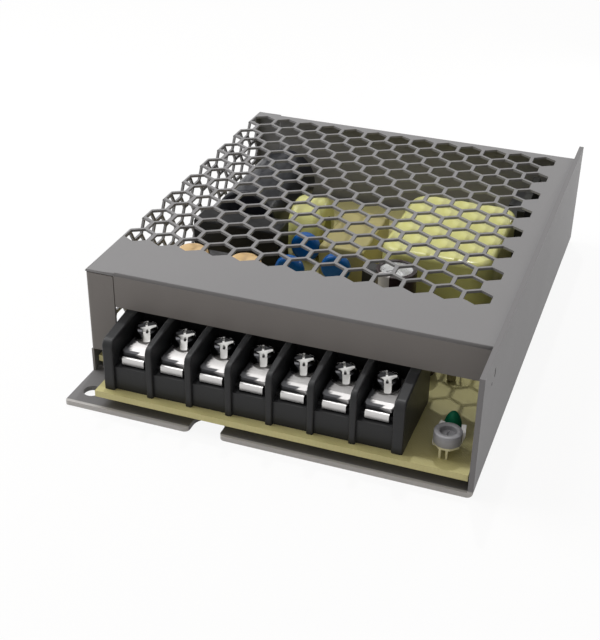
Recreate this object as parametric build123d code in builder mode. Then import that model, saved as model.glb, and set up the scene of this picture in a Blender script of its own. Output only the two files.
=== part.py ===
from build123d import *
import os

# Slim enclosed power supply: a bent base, a folded and perforated cover, a circuit board with
# its parts, and a seven-way screw terminal block at the front. Millimetres, +Z up, front at -Y.
# The origin is the middle of the footprint, on the surface that the base stands on.

# Case
case_length = 129.0
case_width = 97.0
case_height = 30.0
base_gauge = 1.2
bend_inside = 0.3
plate_corner = 0.6
corner_hole_radius = 2.1
corner_hole_x = 4.1
corner_hole_y = 5.6
rear_hole_margin = 3.6
notch_left = 31.3
notch_width = 7.6
notch_depth = 6.5
notch_mouth_radius = 1.3
wall_slot_y = 11.3
wall_slot_drop = 5.0
wall_slot_width = 1.0
wall_slot_height = 2.2
wall_pin_y = 8.7
wall_pin_drop = 6.3
wall_pin_radius = 0.4

# Cover
cover_gauge = 0.6
cover_setback = 13.8
cover_rear_strip = 6.8
cover_top_drop = 0.9
cover_bend_inside = 0.2
sheet_gap = 0.1
lip_gap = 0.9
cheek_width = 7.3
cheek_foot = 7.5
seam = 0.2
relief_depth = 1.6
foot_flange = 7.0

# Vents: one lattice of hexagons, carried over the left fold and down the left wall
vent_radius = 3.3
vent_pitch = 7.01
vent_row_pitch = 5.89
vent_side_offset = 3.84
vent_back_margin = 5.9
vent_front_band = 16.2
vent_right_margin = 3.3
vent_foot_margin = 2.1
fold_allowance = 1.0

# Cover screws, countersunk into the underside
cover_screw_radius = 1.25
cover_screw_head = 2.3
cover_screw_sink = 0.9
cover_screw_inset = 4.4
cover_screw_front = 32.0
cover_screw_rear = 14.2

# Board, its sheet and its fixings
sheet_gauge = 0.4
standoff_height = 2.6
standoff_radius = 3.0
rivet_radius = 2.0
rivet_clearance = 0.02
board_gauge = 1.6
board_front = 0.6
board_side_gap = 0.3
board_tongue_x = 7.8
board_step_y = 14.5
board_left_gap = 0.8
board_back_gap = 1.2
board_hole_radius = 1.6
board_screw_radius = 1.2
board_screw_head = 2.6
board_screw_head_height = 1.7
front_standoffs = ((13.0, 33.0), (70.0, 29.0))
side_standoff_inset = 5.6
side_standoff_y = 82.0
rear_standoffs = ((13.0, 4.4), (60.0, 5.4))

# Terminal block: as many ways as the room beside the trimmer takes
trimmer_room = 12.3
way_pitch = 9.65
first_way_x = 16.15
barrier_gauge = 1.6
end_barrier_gauge = 2.6
barrier_front = 2.2
barrier_height = 14.1
barrier_rise = 1.2
barrier_shoulder = 2.0
barrier_edge = 0.45
block_depth = 22.0
way_face_inset = 0.9
way_face_height = 6.0
way_seat_height = 7.1
way_back_wall = 5.7
screw_y = 12.9
screw_well_radius = 2.2
screw_well_depth = 5.6

# Terminal plates, clamps and screws
plate_gauge = 1.0
plate_width = 5.4
plate_front = 4.2
plate_lip = 1.8
plate_back_gap = 0.2
plate_edge_radius = 0.6
clamp_gauge = 1.2
clamp_width = 6.8
clamp_front = 5.3
clamp_back = 17.6
clamp_corner = 0.8
screw_offset = 0.4
screw_shank = 1.6
screw_running = 0.05
screw_head_radius = 3.1
screw_head_rim = 1.4
screw_head_dome = 1.5
screw_length = 6.5
slot_width = 1.0
slot_depth = 1.1
cross_length = 4.2

# Trimmer and lamp beside the block
trimmer_inset = 7.7
trimmer_y = 6.5
trimmer_base_radius = 3.6
trimmer_base_lift = 1.1
trimmer_base_gauge = 1.0
trimmer_leg = 0.9
trimmer_leg_spread = 2.4
dial_radius = 3.2
dial_height = 3.9
dial_recess_radius = 1.9
dial_recess_depth = 1.3
dial_slot_width = 0.8
dial_slot_depth = 0.6
dial_gap = 0.05
dial_pin_radius = 0.8
clip_width = 1.2
clip_gauge = 0.4
clip_height = 4.6
clip_gap = 0.2
lamp_inset = 8.2
lamp_y = 13.6
lamp_radius = 1.65
lamp_flange = 2.0
lamp_flange_height = 0.9
lamp_height = 5.0
lamp_lift = 0.5

# Parts on the board, each placed by its distance from the left and the front of the case, or by its
# inset from the right and from the board's back edge where it stands by them
can_radius = 9.0
can_tail = 9.4
can_x = 13.6
can_front = 78.0
can_bevel = 0.8
can_bung_radius = 6.5
can_bung_sink = 0.6
can_lead_pitch = 7.5
lead_radius = 0.4
seat_gap = 0.1

box_left = 4.2
box_front = 64.6
box_width = 24.0
box_depth = 8.4
box_height = 14.6
box_edge = 0.9

choke_core_depth = 6.0
choke_core_height = 13.4
choke_x = 18.4
choke_y = 48.2
choke_winding_radius = 4.4
choke_winding_height = 14.6
choke_winding_spread = 14.5

ring_radius = 8.2
ring_hole_radius = 3.4
ring_width = 9.6
ring_x = 30.8
ring_y = 84.0
ring_edge = 2.4

disc_radius = 4.0
disc_gauge = 3.0
disc_edge = 1.2
disc_lead_pitch = 5.0
disc_places = ((34.2, 70.2, 9.0), (33.0, 61.2, 6.3), (44.3, 65.6, 6.8))

film_left = 38.2
film_front = 69.5
film_width = 12.4
film_depth = 24.0
film_height = 10.6
film_edge = 0.7

tall_left = 52.2
tall_front = 63.0
tall_width = 4.6
tall_depth = 4.2
tall_height = 9.5

header_x = 51.4
header_y = 58.6
header_width = 5.2
header_depth = 2.6
header_height = 4.6
header_pin = 0.64
header_pin_height = 7.4
header_pitch = 2.54

transformer_left = 58.6
transformer_front = 54.4
transformer_right_inset = 10.4
transformer_sink_gap = 3.2
transformer_base = 3.0
transformer_base_margin = 1.2
transformer_head_room = 2.3
transformer_corner = 5.0
transformer_edge = 1.6
transformer_pin_count = 6

output_can_sleeve = 0.25
output_can_bead = 0.5
output_can_rim = 1.0
output_can_vent = 0.5
output_can_vent_depth = 0.2
output_can_x = 65.3
output_can_y = 47.6
output_can_radius = 5.0
output_can_height = 19.4
small_can_inset = 22.0
small_can_y = 36.5
small_can_radius = 4.0
small_can_height = 12.0

sink_inset = 11.4
sink_tail = 3.4
sink_length = 24.0
sink_gauge = 2.0
sink_height = 18.4
switch_width = 10.2
switch_height = 15.4
switch_gauge = 4.4
switch_lift = 1.6
switch_first = 1.4
switch_pitch = 11.6

fuse_x = 19.6
fuse_y = 24.5
fuse_radius = 2.6
fuse_length = 14.0
fuse_cap = 3.0
rectifier_left = 24.0
rectifier_front = 31.0
rectifier_width = 15.0
rectifier_depth = 3.5
rectifier_height = 11.0
chip_left = 48.0
chip_front = 30.0
chip_length = 10.0
chip_width = 6.4
chip_gauge = 3.2
chip_lift = 0.5
chip_leg_pitch = 2.54
chip_leg_count = 4

upright_inset = 13.5
upright_y = 34.5
upright_radius = 1.1
upright_length = 2.4
upright_lift = 0.2
upright_wire = 0.25
upright_wire_span = 2.2
upright_wire_rise = 0.7

# Worked out from the sizes above
left = -case_width / 2
front = -case_length / 2
wall_inside = case_width - base_gauge
cover_right = wall_inside - sheet_gap
cover_back = case_length - cover_rear_strip
cover_length = cover_back - cover_setback
cover_top = case_height - cover_top_drop
cover_under = cover_top - cover_gauge
cover_foot = base_gauge
back_foot = base_gauge + bend_inside + sheet_gap
cover_bend_outside = cover_bend_inside + cover_gauge
sheet_top = base_gauge + sheet_gauge
board_under = base_gauge + standoff_height
board_top = board_under + board_gauge
board_left = cover_gauge + board_left_gap
board_right = wall_inside - board_side_gap
board_back = cover_back - cover_gauge - board_back_gap
lip_height = cover_top - board_top - barrier_height - lip_gap
cover_screw_y = (cover_screw_front, cover_back - cover_screw_rear)
standoff_places = (
    *front_standoffs, (case_width - side_standoff_inset, side_standoff_y),
    *[(x, board_back - inset) for x, inset in rear_standoffs],
)
trimmer_x = case_width - trimmer_inset
lamp_x = case_width - lamp_inset
way_count = int((trimmer_x - trimmer_room - first_way_x) / way_pitch) + 1
block_back = barrier_front + block_depth
way_x = [first_way_x + way_pitch * i for i in range(way_count)]
screw_x = [x - screw_offset for x in way_x]
seat_z = board_top + way_seat_height
plate_top = seat_z + plate_gauge
clamp_top = plate_top + clamp_gauge
seat_back = block_back - way_back_wall
can_length = board_back - can_tail - can_front
sink_left = case_width - sink_inset
sink_front = board_back - sink_tail - sink_length
transformer_width = case_width - transformer_right_inset - transformer_left
transformer_depth = sink_front - transformer_sink_gap - transformer_front
transformer_top = cover_under - transformer_head_room
output_cans = (
    (output_can_x, output_can_y, output_can_radius, output_can_height),
    (case_width - small_can_inset, small_can_y, small_can_radius, small_can_height),
)
upright_x = case_width - upright_inset


def level(height):
    # horizontal plane whose x and y are measured from the case's left front corner
    return Plane(origin=(left, front, height))


def facing_front(depth):
    # upright plane across the case: x from the left, y is height, its normal looks forward
    return Plane(origin=(left, front + depth, 0), x_dir=(1, 0, 0), z_dir=(0, -1, 0))


def facing_side(distance):
    # upright plane along the case: x from the front, y is height, its normal looks right
    return Plane(origin=(left + distance, front, 0), x_dir=(0, 1, 0), z_dir=(1, 0, 0))


os.makedirs("parts", exist_ok=True)


def save(part, name):
    part.label = name
    export_step(part, f"parts/{name}.step")


# Base: floor and right wall bent from one sheet
with BuildPart() as base_chassis:
    with BuildSketch(facing_front(0)):
        with BuildLine():
            Polyline(
                (0, 0), (case_width, 0), (case_width, case_height), (wall_inside, case_height),
                (wall_inside, base_gauge), (0, base_gauge), close=True,
            )
        make_face()
        corners = vertices().group_by(Axis.Y)
        fillet(corners[0].sort_by(Axis.X)[-1], bend_inside + base_gauge)
        inner = vertices().filter_by(lambda v: abs(v.X - wall_inside) < 0.01 and v.Y < base_gauge + 0.01)
        fillet(inner, bend_inside)
    extrude(amount=-case_length)
    left_corners = base_chassis.edges().filter_by(Axis.Z).group_by(Axis.X)[0]
    fillet(left_corners, plate_corner)
    with BuildSketch(level(0)):
        with Locations(
            (corner_hole_x, corner_hole_y), (corner_hole_x, case_length - rear_hole_margin)
        ):
            Circle(corner_hole_radius)
        with Locations(*standoff_places):
            Circle(rivet_radius + rivet_clearance)
    extrude(amount=base_gauge, mode=Mode.SUBTRACT)
    with BuildSketch(level(0)):
        with Locations((notch_left + notch_width / 2, notch_depth / 2 - notch_depth)):
            Rectangle(notch_width, notch_depth * 3)
        fillet(vertices().group_by(Axis.Y)[-1], notch_width * 0.45)
    extrude(amount=base_gauge, mode=Mode.SUBTRACT)
    mouth = (
        base_chassis.edges()
        .filter_by(Axis.Z)
        .filter_by_position(Axis.Y, front - 0.01, front + 0.01)
        .filter_by_position(Axis.X, left + notch_left - 0.5, left + notch_left + notch_width + 0.5)
    )
    fillet(mouth, notch_mouth_radius)
    with Locations(*[level(0) * Location((cover_gauge + cover_screw_inset, y, 0)) for y in cover_screw_y]):
        Cone(
            cover_screw_head, cover_screw_radius + sheet_gap, cover_screw_sink,
            align=(Align.CENTER, Align.CENTER, Align.MIN), mode=Mode.SUBTRACT,
        )
        Cylinder(
            cover_screw_radius + sheet_gap, base_gauge,
            align=(Align.CENTER, Align.CENTER, Align.MIN), mode=Mode.SUBTRACT,
        )
    with BuildSketch(facing_side(case_width)):
        with Locations((wall_slot_y, case_height - wall_slot_drop)):
            SlotOverall(wall_slot_height, wall_slot_width, rotation=90)
        with Locations((wall_pin_y, case_height - wall_pin_drop)):
            Circle(wall_pin_radius)
    extrude(amount=-base_gauge, mode=Mode.SUBTRACT)
save(base_chassis.part, "base_chassis")


# Vent lattice: centres on the top, and the same rows carried down the left wall, which has one row more
vent_rows = int(
    (cover_length - vent_back_margin - vent_front_band - vent_radius) / vent_row_pitch
) + 1
top_vents = []
wall_vents = []
for row in range(vent_rows + 1):
    row_y = cover_back - vent_back_margin - vent_row_pitch * row
    shift = vent_pitch / 2 if row % 2 else 0
    column_x = vent_side_offset - shift
    while row < vent_rows and column_x < cover_right - vent_right_margin - vent_radius:
        top_vents.append((column_x, row_y))
        column_x += vent_pitch
    drop = vent_pitch - vent_side_offset if not row % 2 else shift - vent_side_offset
    drop += fold_allowance
    if row == vent_rows and drop < vent_radius:
        drop += vent_pitch
    while cover_top - drop > cover_foot + cover_gauge + vent_radius + vent_foot_margin:
        wall_vents.append((row_y, cover_top - drop))
        drop += vent_pitch

# Cover: top, lip, back, left wall and cheeks folded from one sheet, open at the folded corners
with BuildPart() as cover:
    # top with the lip and the back folded down from it
    with BuildSketch(facing_side(cheek_width)):
        with BuildLine():
            Polyline(
                (cover_setback, cover_top - lip_height), (cover_setback, cover_top),
                (cover_back, cover_top), (cover_back, back_foot),
                (cover_back - cover_gauge, back_foot), (cover_back - cover_gauge, cover_under),
                (cover_setback + cover_gauge, cover_under),
                (cover_setback + cover_gauge, cover_top - lip_height), close=True,
            )
        make_face()
        fillet(vertices().filter_by(lambda v: abs(v.Y - cover_top) < 0.01), cover_bend_outside)
        fillet(
            vertices().filter_by(lambda v: abs(v.Y - cover_under) < 0.01), cover_bend_inside
        )
    extrude(amount=cover_right - cheek_width)
    # left fold and wall, between the rounded corners
    with BuildSketch(facing_front(cover_setback + cover_bend_outside)) as fold_section:
        with BuildLine():
            Polyline(
                (0, cover_foot), (0, cover_top), (cheek_width, cover_top), (cheek_width, cover_under),
                (cover_gauge, cover_under), (cover_gauge, cover_foot), close=True,
            )
        make_face()
        fillet(
            vertices().filter_by(lambda v: abs(v.X) < 0.01 and abs(v.Y - cover_top) < 0.01),
            cover_bend_outside,
        )
        fillet(
            vertices().filter_by(
                lambda v: abs(v.X - cover_gauge) < 0.01 and abs(v.Y - cover_under) < 0.01
            ),
            cover_bend_inside,
        )
    extrude(amount=-cover_length + cover_bend_outside * 2)
    # the top runs on over both cheeks, and the wall's foot under them
    with BuildSketch(facing_front(cover_setback)):
        with BuildLine():
            Polyline(
                (0, cover_under), (0, cover_top), (cheek_width, cover_top), (cheek_width, cover_under),
                close=True,
            )
        make_face()
        fillet(
            vertices().filter_by(lambda v: abs(v.X) < 0.01 and abs(v.Y - cover_top) < 0.01),
            cover_gauge * 0.98,
        )
    extrude(amount=-cover_length)
    with BuildSketch(level(cover_foot)):
        with Locations((0, cover_setback)):
            Rectangle(cover_gauge, cover_length, align=(Align.MIN, Align.MIN))
    extrude(amount=cheek_foot - seam - cover_foot)
    # cheeks folded in from the wall's two ends
    with BuildSketch(level(cheek_foot)):
        with BuildLine():
            Polyline(
                (cheek_width - seam, cover_setback), (0, cover_setback), (0, cover_back),
                (cheek_width - seam, cover_back), (cheek_width - seam, cover_back - cover_gauge),
                (cover_gauge, cover_back - cover_gauge), (cover_gauge, cover_setback + cover_gauge),
                (cheek_width - seam, cover_setback + cover_gauge), close=True,
            )
        make_face()
        fillet(vertices().filter_by(lambda v: abs(v.X) < 0.01), cover_bend_outside)
        fillet(vertices().filter_by(lambda v: abs(v.X - cover_gauge) < 0.01), cover_bend_inside)
    extrude(amount=cover_under - seam - cheek_foot)
    # flange folded in at the wall's foot
    with BuildSketch(level(cover_foot)):
        with Locations((0, cover_setback + relief_depth)):
            Rectangle(
                foot_flange + cover_gauge, cover_length - relief_depth * 2,
                align=(Align.MIN, Align.MIN),
            )
    extrude(amount=cover_gauge)
    with BuildSketch(level(cover_top)):
        with Locations(*top_vents):
            RegularPolygon(vent_radius, 6, rotation=30)
    extrude(amount=-cover_gauge, mode=Mode.SUBTRACT)
    with BuildSketch(facing_side(0)):
        with Locations(*wall_vents):
            RegularPolygon(vent_radius, 6)
    extrude(amount=cover_gauge, mode=Mode.SUBTRACT)
    with BuildSketch(level(cover_foot)):
        with Locations(*[(cover_gauge + cover_screw_inset, y) for y in cover_screw_y]):
            Circle(cover_screw_radius)
    extrude(amount=cover_gauge, mode=Mode.SUBTRACT)
save(cover.part, "cover")

# Countersunk screws that hold the cover's foot flange to the base
with BuildPart() as cover_screws:
    with Locations(*[level(0) * Location((cover_gauge + cover_screw_inset, y, 0)) for y in cover_screw_y]):
        Cone(
            cover_screw_head - sheet_gap, cover_screw_radius, cover_screw_sink,
            align=(Align.CENTER, Align.CENTER, Align.MIN),
        )
        Cylinder(
            cover_screw_radius, base_gauge + cover_gauge, align=(Align.CENTER, Align.CENTER, Align.MIN)
        )
save(cover_screws.part, "cover_screws")

# Insulating sheet on the floor, clear of the standoffs
with BuildPart() as insulating_sheet:
    with BuildSketch(level(base_gauge)):
        sheet_left = cover_gauge + foot_flange + board_side_gap
        with Locations((sheet_left, cover_setback + cover_gauge)):
            Rectangle(
                wall_inside - bend_inside - sheet_gap - sheet_left,
                board_back - cover_setback - cover_gauge,
                align=(Align.MIN, Align.MIN),
            )
        with Locations(*standoff_places):
            Circle(standoff_radius + sheet_gap, mode=Mode.SUBTRACT)
    extrude(amount=sheet_gauge)
save(insulating_sheet.part, "insulating_sheet")

# Standoffs riveted into the floor
with BuildPart() as board_standoffs:
    with BuildSketch(level(0)):
        with Locations(*standoff_places):
            Circle(rivet_radius)
    extrude(amount=base_gauge)
    with BuildSketch(level(base_gauge)):
        with Locations(*standoff_places):
            Circle(standoff_radius)
    extrude(amount=standoff_height)
    with BuildSketch(level(board_under)):
        with Locations(*standoff_places):
            Circle(board_screw_radius)
    extrude(amount=-standoff_height, mode=Mode.SUBTRACT)
save(board_standoffs.part, "board_standoffs")

# Circuit board, with its tongue in front of the cover
with BuildPart() as circuit_board:
    with BuildSketch(level(board_under)):
        with BuildLine():
            Polyline(
                (board_tongue_x, board_front), (board_right, board_front), (board_right, board_back),
                (board_left, board_back), (board_left, board_step_y), (board_tongue_x, board_step_y),
                close=True,
            )
        make_face()
        with Locations(*standoff_places):
            Circle(board_hole_radius, mode=Mode.SUBTRACT)
    extrude(amount=board_gauge)
save(circuit_board.part, "circuit_board")

# Pan head screws through the board
with BuildPart() as board_screws:
    with BuildSketch(level(board_top)):
        with Locations(*standoff_places):
            Circle(board_screw_head)
    extrude(amount=board_screw_head_height)
    fillet(board_screws.edges().group_by(Axis.Z)[-1], board_screw_head_height * 0.5)
    with BuildSketch(level(board_top)):
        with Locations(*standoff_places):
            Circle(board_screw_radius)
    extrude(amount=-board_gauge - standoff_height)
save(board_screws.part, "board_screws")

# Terminal block: eight barriers, seven seats and a back wall moulded in one
with BuildPart() as terminal_block:
    with BuildSketch(facing_side(way_x[0] - way_pitch / 2)):
        with BuildLine():
            Polyline(
                (barrier_front + way_face_inset, board_top),
                (barrier_front + way_face_inset, board_top + way_face_height),
                (plate_front + plate_gauge, board_top + way_face_height),
                (plate_front + plate_gauge, seat_z), (seat_back, seat_z),
                (seat_back, board_top + barrier_height), (block_back, board_top + barrier_height),
                (block_back, board_top), close=True,
            )
        make_face()
    extrude(amount=way_pitch * way_count)
    for index in range(way_count + 1):
        barrier_x = way_x[0] + way_pitch * (index - 0.5)
        thin_left = barrier_x - barrier_gauge / 2
        thin_right = barrier_x + barrier_gauge / 2
        low = thin_right - end_barrier_gauge if index == 0 else thin_left
        high = thin_left + end_barrier_gauge if index == way_count else thin_right
        with BuildSketch(facing_side(low)):
            with BuildLine():
                Polyline(
                    (barrier_front, board_top),
                    (barrier_front, board_top + barrier_height - barrier_rise),
                    (screw_y, board_top + barrier_height), (block_back, board_top + barrier_height),
                    (block_back, board_top), close=True,
                )
            make_face()
            shoulder = vertices().group_by(Axis.X)[0].sort_by(Axis.Y)[-1]
            fillet(shoulder, barrier_shoulder)
        extrude(amount=high - low)
    barrier_rims = (
        terminal_block.edges()
        .filter_by(lambda e: e.bounding_box().size.X < 0.01)
        .filter_by(lambda e: e.center().Y < front + seat_back - barrier_edge)
        .filter_by(lambda e: e.center().Z > plate_top)
    )
    fillet(barrier_rims, barrier_edge)
    with BuildSketch(level(seat_z)):
        with Locations(*[(x, screw_y) for x in screw_x]):
            Circle(screw_well_radius)
    extrude(amount=-screw_well_depth, mode=Mode.SUBTRACT)
save(terminal_block.part, "terminal_block")

# Terminal plates with a lip turned down over the front of each seat
with BuildPart() as terminal_plates:
    for x in way_x:
        with BuildSketch(facing_side(x - plate_width / 2)):
            with BuildLine():
                Polyline(
                    (plate_front, plate_top - plate_lip), (plate_front, plate_top),
                    (seat_back - plate_back_gap, plate_top), (seat_back - plate_back_gap, seat_z),
                    (plate_front + plate_gauge, seat_z),
                    (plate_front + plate_gauge, plate_top - plate_lip), close=True,
                )
            make_face()
            nose = vertices().group_by(Axis.X)[0].sort_by(Axis.Y)[-1]
            fillet(nose, plate_edge_radius)
        extrude(amount=plate_width)
    with BuildSketch(level(plate_top)):
        with Locations(*[(x, screw_y) for x in screw_x]):
            Circle(screw_shank + screw_running)
    extrude(amount=-plate_gauge, mode=Mode.SUBTRACT)
save(terminal_plates.part, "terminal_plates")

# Each way's clamp and its screw: the clamp is carried by the screw and rises with it
for number, x in enumerate(screw_x, start=1):
    with BuildPart() as clamp_plate:
        with BuildSketch(level(plate_top)):
            with Locations((way_x[number - 1], (clamp_front + clamp_back) / 2)):
                RectangleRounded(clamp_width, clamp_back - clamp_front, clamp_corner)
            with Locations((x, screw_y)):
                Circle(screw_shank + screw_running, mode=Mode.SUBTRACT)
        extrude(amount=clamp_gauge)
    save(clamp_plate.part, f"clamp_plate_{number}")

    with BuildPart() as terminal_screw:
        with BuildSketch(facing_side(x)):
            with BuildLine():
                rim = clamp_top + screw_head_rim
                crown = rim + screw_head_dome
                dome = (screw_head_radius**2 + screw_head_dome**2) / (2 * screw_head_dome)
                sag = dome - (dome**2 - (screw_head_radius / 2) ** 2) ** 0.5
                Polyline(
                    (screw_y, crown), (screw_y, clamp_top - screw_length),
                    (screw_y + screw_shank, clamp_top - screw_length),
                    (screw_y + screw_shank, clamp_top), (screw_y + screw_head_radius, clamp_top),
                    (screw_y + screw_head_radius, rim),
                )
                ThreePointArc(
                    (screw_y + screw_head_radius, rim),
                    (screw_y + screw_head_radius / 2, crown - sag),
                    (screw_y, crown),
                )
            make_face()
        revolve(axis=Axis((left + x, front + screw_y, 0), (0, 0, 1)))
        with BuildSketch(level(crown)):
            with Locations((x, screw_y)):
                Rectangle(slot_width, screw_head_radius * 2 + slot_width)
                Rectangle(cross_length, slot_width)
        extrude(amount=-slot_depth, mode=Mode.SUBTRACT)
    save(terminal_screw.part, f"terminal_screw_{number}")

# Trimmer: a moulded base on legs, two side clips and a dial that turns on the base's pin
trimmer_floor = board_top + trimmer_base_lift
dial_floor = trimmer_floor + trimmer_base_gauge
with BuildPart() as trimmer_base:
    with BuildSketch(level(trimmer_floor)):
        with Locations((trimmer_x, trimmer_y)):
            RegularPolygon(trimmer_base_radius, 8, rotation=22.5)
    extrude(amount=trimmer_base_gauge)
    with BuildSketch(level(board_top)):
        for side in (-1, 1):
            for end in (-1, 1):
                with Locations(
                    (trimmer_x + side * trimmer_leg_spread * 0.5, trimmer_y + end * trimmer_leg_spread * 1.2)
                ):
                    Rectangle(trimmer_leg, trimmer_leg)
    extrude(amount=trimmer_base_lift)
    with BuildSketch(level(dial_floor)):
        with Locations((trimmer_x, trimmer_y)):
            Circle(dial_pin_radius)
    extrude(amount=dial_height - dial_recess_depth - dial_gap * 2)
save(trimmer_base.part, "trimmer_base")

with BuildPart() as trimmer_dial:
    with BuildSketch(level(dial_floor + dial_gap)):
        with Locations((trimmer_x, trimmer_y)):
            Circle(dial_radius)
    extrude(amount=dial_height)
    with BuildSketch(level(dial_floor + dial_gap + dial_height)):
        with Locations((trimmer_x, trimmer_y)):
            Circle(dial_recess_radius)
    extrude(amount=-dial_recess_depth, mode=Mode.SUBTRACT)
    with BuildSketch(level(dial_floor + dial_gap + dial_height - dial_recess_depth)):
        with Locations((trimmer_x, trimmer_y)):
            Rectangle(dial_recess_radius * 1.7, dial_slot_width)
            Rectangle(dial_slot_width, dial_recess_radius * 1.7)
    extrude(amount=-dial_slot_depth, mode=Mode.SUBTRACT)
    with BuildSketch(level(dial_floor + dial_gap)):
        with Locations((trimmer_x, trimmer_y)):
            Circle(dial_pin_radius + dial_gap)
    extrude(amount=dial_height - dial_recess_depth - dial_gap, mode=Mode.SUBTRACT)
save(trimmer_dial.part, "trimmer_dial")

with BuildPart() as trimmer_clips:
    for side in (-1, 1):
        with BuildSketch(level(board_top)):
            clip_reach = trimmer_base_radius + clip_gap + clip_gauge / 2
            with Locations((trimmer_x + side * clip_reach, trimmer_y)):
                Rectangle(clip_gauge, clip_width * 2)
        extrude(amount=clip_height)
save(trimmer_clips.part, "trimmer_clips")

# Lamp with its two leads
with BuildPart() as lamp:
    with BuildSketch(facing_side(lamp_x)):
        with BuildLine():
            foot = board_top + lamp_lift
            spring = foot + lamp_height - lamp_radius
            Polyline(
                (lamp_y, foot + lamp_height), (lamp_y, foot), (lamp_y + lamp_flange, foot),
                (lamp_y + lamp_flange, foot + lamp_flange_height),
                (lamp_y + lamp_radius, foot + lamp_flange_height), (lamp_y + lamp_radius, spring),
            )
            RadiusArc((lamp_y + lamp_radius, spring), (lamp_y, foot + lamp_height), -lamp_radius)
        make_face()
    revolve(axis=Axis((left + lamp_x, front + lamp_y, 0), (0, 0, 1)))
save(lamp.part, "indicator_lamp")

with BuildPart() as lamp_leads:
    with BuildSketch(level(board_top)):
        with Locations((lamp_x - header_pitch / 2, lamp_y), (lamp_x + header_pitch / 2, lamp_y)):
            Rectangle(header_pin * 0.8, header_pin * 0.8)
    extrude(amount=lamp_lift)
save(lamp_leads.part, "lamp_leads")

# Reservoir capacitor lying on the board, its leads bent down behind it
can_axis = board_top + seat_gap + can_radius
with BuildPart() as reservoir_capacitor:
    with BuildSketch(facing_front(can_front)):
        with Locations((can_x, can_axis)):
            Circle(can_radius)
    extrude(amount=-can_length)
    fillet(reservoir_capacitor.edges().filter_by(GeomType.CIRCLE), can_bevel)
    with BuildSketch(facing_front(can_front + can_length)):
        with Locations((can_x, can_axis)):
            Circle(can_bung_radius)
    extrude(amount=can_bung_sink, mode=Mode.SUBTRACT)
save(reservoir_capacitor.part, "reservoir_capacitor")

with BuildPart() as reservoir_leads:
    for side in (-1, 1):
        lead_x = can_x + side * can_lead_pitch / 2
        lead_y = can_front + can_length + 1.6
        with BuildSketch(facing_front(can_front + can_length - can_bung_sink)):
            with Locations((lead_x, can_axis)):
                Circle(lead_radius)
        extrude(amount=-can_bung_sink - 1.6 - lead_radius)
        with BuildSketch(level(board_top)):
            with Locations((lead_x, lead_y)):
                Circle(lead_radius)
        extrude(amount=can_axis - board_top)
save(reservoir_leads.part, "reservoir_leads")

# Line filter capacitor: a moulded box standing across the case
with BuildPart() as line_capacitor:
    with BuildSketch(level(board_top)):
        with Locations((box_left, box_front)):
            Rectangle(box_width, box_depth, align=(Align.MIN, Align.MIN))
    extrude(amount=box_height)
    fillet(line_capacitor.edges().group_by(Axis.Z)[-1], box_edge)
save(line_capacitor.part, "line_capacitor")

# Common mode choke: a ferrite core between two wound limbs
with BuildPart() as choke_core:
    with BuildSketch(level(board_top)):
        with Locations((choke_x, choke_y)):
            Rectangle(choke_winding_spread, choke_core_depth)
        for side in (-1, 1):
            with Locations((choke_x + side * choke_winding_spread / 2, choke_y)):
                Circle(choke_winding_radius + seat_gap, mode=Mode.SUBTRACT)
    extrude(amount=choke_core_height)
save(choke_core.part, "choke_core")

with BuildPart() as choke_windings:
    for side in (-1, 1):
        with BuildSketch(level(board_top)):
            with Locations((choke_x + side * choke_winding_spread / 2, choke_y)):
                Circle(choke_winding_radius)
        extrude(amount=choke_winding_height)
    fillet(choke_windings.edges().group_by(Axis.Z)[-1], choke_winding_radius * 0.45)
save(choke_windings.part, "choke_windings")

# Storage choke: a ring standing on its edge
ring_z = board_top + seat_gap + ring_radius
with BuildPart() as ring_choke:
    with BuildSketch(facing_side(ring_x - ring_width / 2)):
        with Locations((ring_y, ring_z)):
            Circle(ring_radius)
            Circle(ring_hole_radius, mode=Mode.SUBTRACT)
    extrude(amount=ring_width)
    outer_rims = ring_choke.edges().filter_by(GeomType.CIRCLE).sort_by(SortBy.RADIUS)[-2:]
    fillet(outer_rims, ring_edge)
save(ring_choke.part, "ring_choke")

# Ceramic disc capacitors and their leads
with BuildPart() as disc_capacitors:
    for disc_x, disc_y, disc_lift in disc_places:
        with BuildSketch(facing_front(disc_y - disc_gauge / 2)):
            with Locations((disc_x, board_top + disc_lift)):
                Circle(disc_radius)
        extrude(amount=-disc_gauge)
    fillet(disc_capacitors.edges().filter_by(GeomType.CIRCLE), disc_edge)
save(disc_capacitors.part, "disc_capacitors")

with BuildPart() as disc_leads:
    for disc_x, disc_y, disc_lift in disc_places:
        reach = disc_lift - (disc_radius**2 - (disc_lead_pitch / 2 - lead_radius) ** 2) ** 0.5
        with BuildSketch(level(board_top)):
            for side in (-1, 1):
                with Locations((disc_x + side * disc_lead_pitch / 2, disc_y)):
                    Circle(lead_radius)
        extrude(amount=reach)
save(disc_leads.part, "disc_leads")

# Suppression capacitor, a low moulded box beside the transformer
with BuildPart() as film_capacitor:
    with BuildSketch(level(board_top)):
        with Locations((film_left, film_front)):
            Rectangle(film_width, film_depth, align=(Align.MIN, Align.MIN))
    extrude(amount=film_height)
    fillet(film_capacitor.edges().group_by(Axis.Z)[-1], film_edge)
save(film_capacitor.part, "film_capacitor")

# Opto-isolator standing between the capacitor and the transformer
with BuildPart() as isolator:
    with BuildSketch(level(board_top)):
        with Locations((tall_left, tall_front)):
            Rectangle(tall_width, tall_depth, align=(Align.MIN, Align.MIN))
    extrude(amount=tall_height)
    chamfer(isolator.edges().group_by(Axis.Z)[-1], 0.4)
save(isolator.part, "isolator")

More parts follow.
